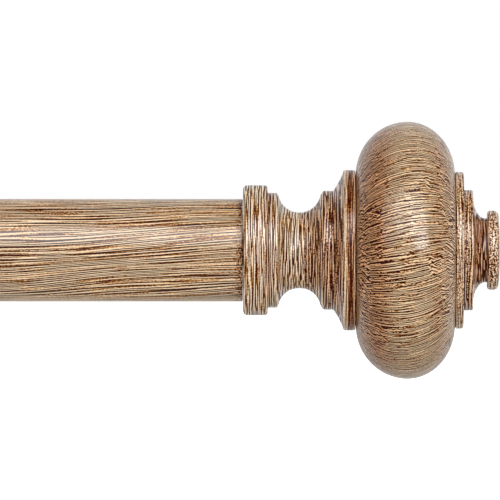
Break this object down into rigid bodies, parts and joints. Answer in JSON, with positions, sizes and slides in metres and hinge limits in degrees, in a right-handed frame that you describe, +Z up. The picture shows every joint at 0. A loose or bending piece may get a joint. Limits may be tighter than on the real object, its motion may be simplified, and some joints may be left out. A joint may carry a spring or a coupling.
{
  "type": "curtain rod",
  "caption": "Telescoping curtain rod with turned finials, lying in open cups on wall brackets of adjustable projection.",
  "frame": {"origin": "on the wall, at the centre of the four wall screws: midway between the brackets and level with the rod's axis", "axes": "+X along the rod towards the end of the wide outer tube, +Y into the wall, +Z up; the rod's axis is 90 mm in front of the wall"},
  "size_m": [0.8382, 0.1218, 0.082],
  "materials": {
    "faux_wood_tube": "hand-painted faux wood, fine grain along the tube, satin lacquer",
    "faux_wood_resin": "cast resin, hand-painted faux wood with dark glaze in the grooves, satin lacquer",
    "faux_wood_bracket": "cast and turned metal in the rod's faux-wood paint, satin lacquer",
    "zinc_steel": "zinc-plated steel",
    "thumbscrew_bronze": "antique bronze, brown-black, worn on the knurl",
    "nylon": "natural nylon"
  },
  "bodies": {
    "rod_outer": {"outer_tube": "faux_wood_tube", "mouth_liner": "nylon", "right_end_plug": "nylon"},
    "rod_inner": {"inner_tube": "faux_wood_tube", "inner_glide": "nylon", "left_end_plug": "nylon"},
    "right_bracket": {"right_wall_plate": "faux_wood_bracket", "right_arm_sleeve": "faux_wood_bracket"},
    "right_arm": {"right_arm": "faux_wood_bracket", "right_cup": "faux_wood_bracket", "right_cup_screw": "zinc_steel"},
    "right_cup_lock": {"right_cup_thumbscrew": "thumbscrew_bronze"},
    "right_arm_lock": {"right_arm_thumbscrew": "thumbscrew_bronze"},
    "right_washer": {"right_finial_washer": "nylon"},
    "right_finial": {"right_finial_body": "faux_wood_resin", "right_finial_stud": "zinc_steel"},
    "left_bracket": {"left_wall_plate": "faux_wood_bracket", "left_arm_sleeve": "faux_wood_bracket"},
    "left_arm": {"left_arm": "faux_wood_bracket", "left_cup": "faux_wood_bracket", "left_cup_screw": "zinc_steel"},
    "left_cup_lock": {"left_cup_thumbscrew": "thumbscrew_bronze"},
    "left_arm_lock": {"left_arm_thumbscrew": "thumbscrew_bronze"},
    "left_washer": {"left_finial_washer": "nylon"},
    "left_finial": {"left_finial_body": "faux_wood_resin", "left_finial_stud": "zinc_steel"}
  },
  "joints": [
    {"name": "left_bracket_position", "type": "slide", "parent": "right_bracket", "child": "left_bracket", "axis": [-1, 0, 0], "range_m": [0, 0.508]},
    {"name": "rod_lift", "type": "slide", "parent": "right_arm", "child": "rod_outer", "axis": [0, 0, 1], "range_m": [0, 0.04]},
    {"name": "telescope", "type": "slide", "parent": "rod_outer", "child": "rod_inner", "axis": [-1, 0, 0], "range_m": [0, 0.508]},
    {"name": "right_projection", "type": "slide", "parent": "right_bracket", "child": "right_arm", "axis": [0, -1, 0], "range_m": [0, 0.025]},
    {"name": "right_cup_lock_turn", "type": "hinge", "parent": "right_arm", "child": "right_cup_lock", "pos_m": [0.2655, -0.09, 0], "axis": [0, -1, 0], "range_deg": [0, 1080]},
    {"name": "right_arm_lock_turn", "type": "hinge", "parent": "right_bracket", "child": "right_arm_lock", "pos_m": [0.2655, -0.0382, 0], "axis": [0, 0, -1], "range_deg": [0, 1080]},
    {"name": "right_finial_travel", "type": "slide", "parent": "rod_outer", "child": "right_washer", "axis": [1, 0, 0], "range_m": [0, 0.0202]},
    {"name": "right_finial_turn", "type": "hinge", "parent": "right_washer", "child": "right_finial", "pos_m": [0.3555, -0.09, 0], "axis": [1, 0, 0], "range_deg": [0, 5760]},
    {"name": "left_projection", "type": "slide", "parent": "left_bracket", "child": "left_arm", "axis": [0, -1, 0], "range_m": [0, 0.025]},
    {"name": "left_cup_lock_turn", "type": "hinge", "parent": "left_arm", "child": "left_cup_lock", "pos_m": [-0.2655, -0.09, 0], "axis": [0, -1, 0], "range_deg": [0, 1080]},
    {"name": "left_arm_lock_turn", "type": "hinge", "parent": "left_bracket", "child": "left_arm_lock", "pos_m": [-0.2655, -0.0382, 0], "axis": [0, 0, -1], "range_deg": [0, 1080]},
    {"name": "left_finial_travel", "type": "slide", "parent": "rod_inner", "child": "left_washer", "axis": [-1, 0, 0], "range_m": [0, 0.0202]},
    {"name": "left_finial_turn", "type": "hinge", "parent": "left_washer", "child": "left_finial", "pos_m": [-0.3555, -0.09, 0], "axis": [-1, 0, 0], "range_deg": [0, 5760]}
  ],
  "couplings": [
    {"joint": "left_bracket_position", "follows": "telescope", "ratio": 1},
    {"joint": "left_projection", "follows": "right_projection", "ratio": 1},
    {"joint": "right_finial_travel", "follows": "right_finial_turn", "m_per_rad": 0.00019894},
    {"joint": "left_finial_travel", "follows": "left_finial_turn", "m_per_rad": 0.00019894}
  ]
}
